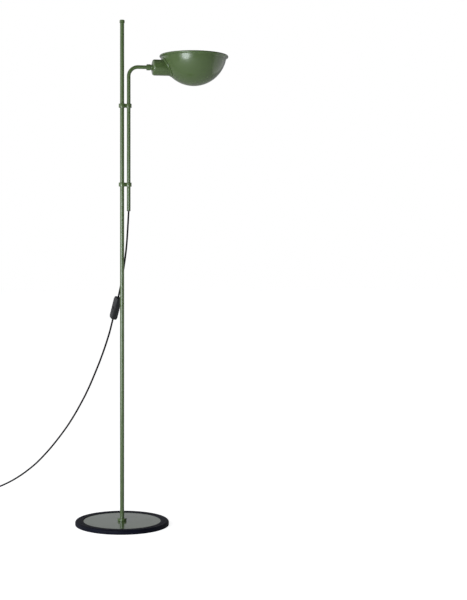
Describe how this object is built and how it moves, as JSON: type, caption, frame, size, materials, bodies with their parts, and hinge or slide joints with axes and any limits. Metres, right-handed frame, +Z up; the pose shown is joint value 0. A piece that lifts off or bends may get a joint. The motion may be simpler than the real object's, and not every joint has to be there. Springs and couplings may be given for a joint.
{
  "type": "adjustable arm floor lamp",
  "caption": "Floor lamp with a round weighted base, a thin pole, a bent arm that slides and turns in two clips, an uplight bowl shade, and a cord with an inline switch.",
  "frame": {"origin": "centre of the base's underside, on the floor", "axes": "+X from the pole to the bowl along the arm, +Z up the pole, +Y to the back"},
  "size_m": [0.7548, 0.7147, 1.35],
  "materials": {
    "enamel": "glossy sage green enamel",
    "rubber": "black rubber, low sheen",
    "black_plastic": "black moulded plastic",
    "cord_jacket": "black flexible jacket",
    "white_nylon": "natural nylon",
    "steel": "zinc-plated steel",
    "brass": "plain brass",
    "ceramic": "glazed ceramic",
    "bulb_glass": "opal glass"
  },
  "bodies": {
    "stand": {"base_plate": "enamel", "base_ring": "rubber", "base_pad": "rubber", "foot_collar": "enamel", "pole": "enamel", "pole_cap": "enamel", "pole_insert": "steel", "foot_bolt": "steel", "foot_washer": "steel", "flex_lower": "cord_jacket", "flex_coil": "cord_jacket", "coil_tie": "black_plastic", "flex_tail": "cord_jacket", "plug_sleeve": "black_plastic", "plug_body": "black_plastic", "plug_pin_a": "brass", "plug_pin_b": "brass"},
    "slider": {"upper_pole_bush": "white_nylon", "lower_pole_bush": "white_nylon", "flex_upper": "cord_jacket", "switch_front": "black_plastic", "switch_back": "black_plastic", "switch_screw_upper": "steel", "switch_screw_lower": "steel", "switch_terminal_in": "brass", "switch_terminal_out": "brass"},
    "clips": {"upper_clip": "enamel", "lower_clip": "enamel", "upper_clip_screw": "steel", "lower_clip_screw": "steel", "upper_arm_bush": "white_nylon", "lower_arm_bush": "white_nylon"},
    "arm": {"arm_tube": "enamel", "tube_end_bush": "black_plastic", "inner_flex": "cord_jacket"},
    "nut": {"lock_nut": "enamel"},
    "head": {"head_neck": "enamel", "neck_nut": "steel", "socket_housing": "enamel", "seam_ring": "enamel", "shade": "enamel", "lamp_holder": "ceramic", "holder_shell": "brass", "holder_contact": "brass", "bulb_cap": "brass", "bulb_glass": "bulb_glass"},
    "rocker": {"switch_rocker": "black_plastic"}
  },
  "joints": [
    {"name": "height_slide", "type": "slide", "parent": "stand", "child": "slider", "axis": [0, 0, 1], "range_m": [-0.45, 0.2], "deforming": ["flex_lower"]},
    {"name": "pole_swivel", "type": "hinge", "parent": "slider", "child": "clips", "pos_m": [0, 0, 0.909], "axis": [0, 0, 1], "range_deg": [-170, 170], "deforming": ["flex_upper"]},
    {"name": "arm_turn", "type": "hinge", "parent": "clips", "child": "arm", "pos_m": [0.0178, 0, 0.909], "axis": [0, 0, 1], "range_deg": [-125, 125]},
    {"name": "head_roll", "type": "hinge", "parent": "arm", "child": "head", "pos_m": [0.0811, 0, 1.2245], "axis": [1, 0, 0], "range_deg": [-170, 170]},
    {"name": "nut_turn", "type": "hinge", "parent": "arm", "child": "nut", "pos_m": [0.0716, 0, 1.2245], "axis": [1, 0, 0], "range_deg": [-180, 180]},
    {"name": "switch_toggle", "type": "hinge", "parent": "slider", "child": "rocker", "pos_m": [-0.01718, 0.04176, 0.57354], "axis": [-0.2298, 0.9193, 0.3195], "range_deg": [0, 14]}
  ]
}
